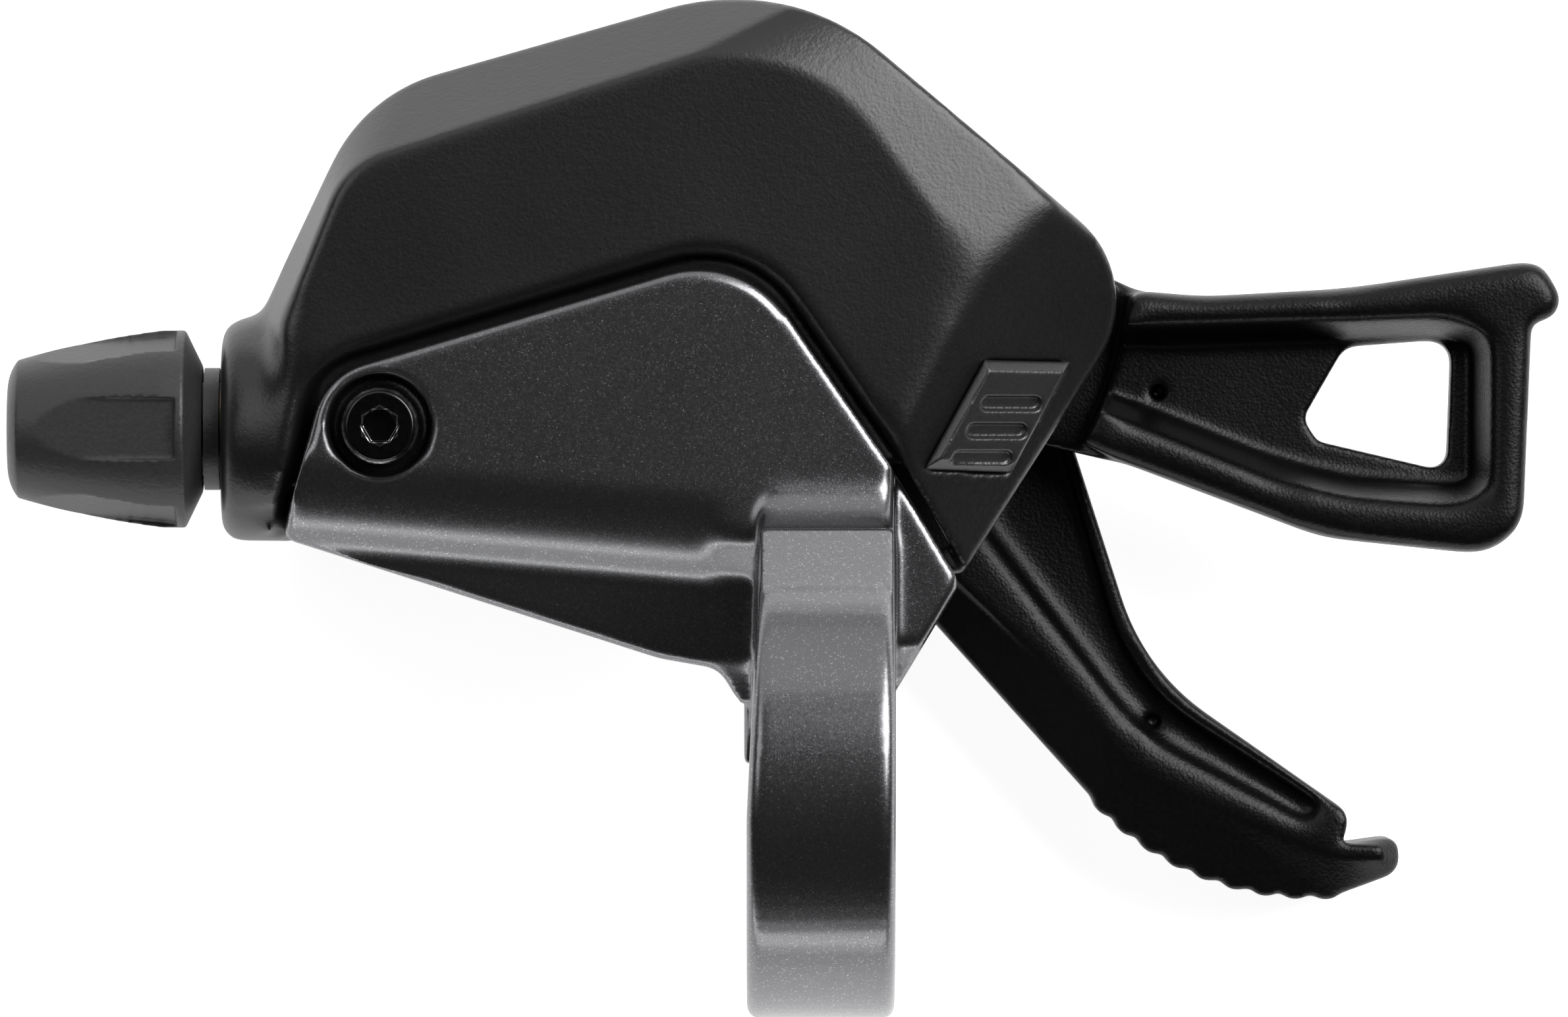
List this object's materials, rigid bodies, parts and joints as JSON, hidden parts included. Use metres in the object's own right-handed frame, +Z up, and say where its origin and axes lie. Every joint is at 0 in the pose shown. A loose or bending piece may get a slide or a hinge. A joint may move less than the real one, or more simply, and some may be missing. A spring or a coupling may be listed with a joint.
{
  "type": "trigger gear shifter",
  "caption": "Handlebar-clamped trigger gear shifter with a ribbed thumb paddle, a skeleton release lever, a clicking ratchet spool and a fluted barrel adjuster.",
  "frame": {"origin": "centre of the handlebar clamp bore, mid width of the band", "axes": "+X along the handlebar towards the grip, +Y forwards, +Z up, away from the shift unit that hangs under the bar"},
  "size_m": [0.0969, 0.0632, 0.0463],
  "materials": {
    "bracket_paint": "metallic flake paint on a die-casting",
    "housing_plastic": "fine spark-eroded grain",
    "plug_plastic": "moulded, satin",
    "lever_plastic": "leather grain",
    "knob_plastic": "moulded, satin",
    "black_steel": "black oxide",
    "plated_steel": "zinc plated, satin",
    "spring_steel": "drawn wire",
    "spool_plastic": "natural acetal",
    "brass": "turned",
    "alloy": "black anodised"
  },
  "bodies": {
    "bracket_body": {"bracket": "bracket_paint", "upper_housing": "housing_plastic", "base_cap": "housing_plastic", "cap_screws": "black_steel", "bracket_screw": "black_steel", "clamp_bolt": "black_steel", "clamp_washer": "black_steel", "main_axle": "plated_steel", "axle_bush": "plated_steel", "axle_nut": "plated_steel", "axle_washer": "plated_steel", "support_plate": "plated_steel", "hold_pawl_pin": "plated_steel", "hold_pawl_spring": "spring_steel", "return_spring": "spring_steel", "release_spring": "spring_steel", "main_lever_spring": "spring_steel", "inner_hole_cap": "plug_plastic", "adjuster_insert": "brass"},
    "main_lever_body": {"main_lever": "lever_plastic", "feed_pawl_pin": "plated_steel", "feed_pawl_clip": "plated_steel", "feed_pawl_spring": "spring_steel"},
    "feed_pawl_body": {"feed_pawl": "plated_steel"},
    "release_lever_body": {"release_lever": "lever_plastic"},
    "spool_body": {"wire_spool": "spool_plastic", "ratchet_plate": "plated_steel"},
    "hold_pawl_body": {"hold_pawl": "plated_steel"},
    "adjuster_travel_body": {"adjuster_collar": "knob_plastic"},
    "adjuster_turn_body": {"adjuster_knob": "knob_plastic", "adjuster_stem": "alloy"}
  },
  "joints": [
    {"name": "main_lever_swing", "type": "hinge", "parent": "bracket_body", "child": "main_lever_body", "pos_m": [-0.004, 0.03234, -0.0223], "axis": [0, 0, 1], "range_deg": [0, 30], "stiffness_Nm_per_rad": 0.25, "springref_deg": -20.05},
    {"name": "feed_pawl_swing", "type": "hinge", "parent": "main_lever_body", "child": "feed_pawl_body", "pos_m": [-0.00602, 0.04508, -0.0174], "axis": [0, 0, 1], "range_deg": [0, 15], "stiffness_Nm_per_rad": 0.004},
    {"name": "release_lever_swing", "type": "hinge", "parent": "bracket_body", "child": "release_lever_body", "pos_m": [-0.004, 0.03234, -0.0191], "axis": [0, 0, 1], "range_deg": [-12, 12], "stiffness_Nm_per_rad": 0.4},
    {"name": "spool_turn", "type": "hinge", "parent": "bracket_body", "child": "spool_body", "pos_m": [-0.004, 0.03234, -0.0142], "axis": [0, 0, 1], "range_deg": [0, 150], "stiffness_Nm_per_rad": 0.03, "springref_deg": -45.84},
    {"name": "hold_pawl_lift", "type": "hinge", "parent": "bracket_body", "child": "hold_pawl_body", "pos_m": [-0.01674, 0.03032, -0.0174], "axis": [0, 0, -1], "range_deg": [0, 15], "stiffness_Nm_per_rad": 0.004, "springref_deg": -17.19},
    {"name": "adjuster_travel", "type": "slide", "parent": "bracket_body", "child": "adjuster_travel_body", "axis": [-1, 0, 0], "range_m": [0, 0.0016]},
    {"name": "adjuster_turn", "type": "hinge", "parent": "adjuster_travel_body", "child": "adjuster_turn_body", "pos_m": [-0.044, 0.02184, -0.0135], "axis": [-1, 0, 0], "range_deg": [0, 720]}
  ],
  "couplings": [
    {"joint": "adjuster_turn", "follows": "adjuster_travel", "rad_per_m": 7854}
  ]
}
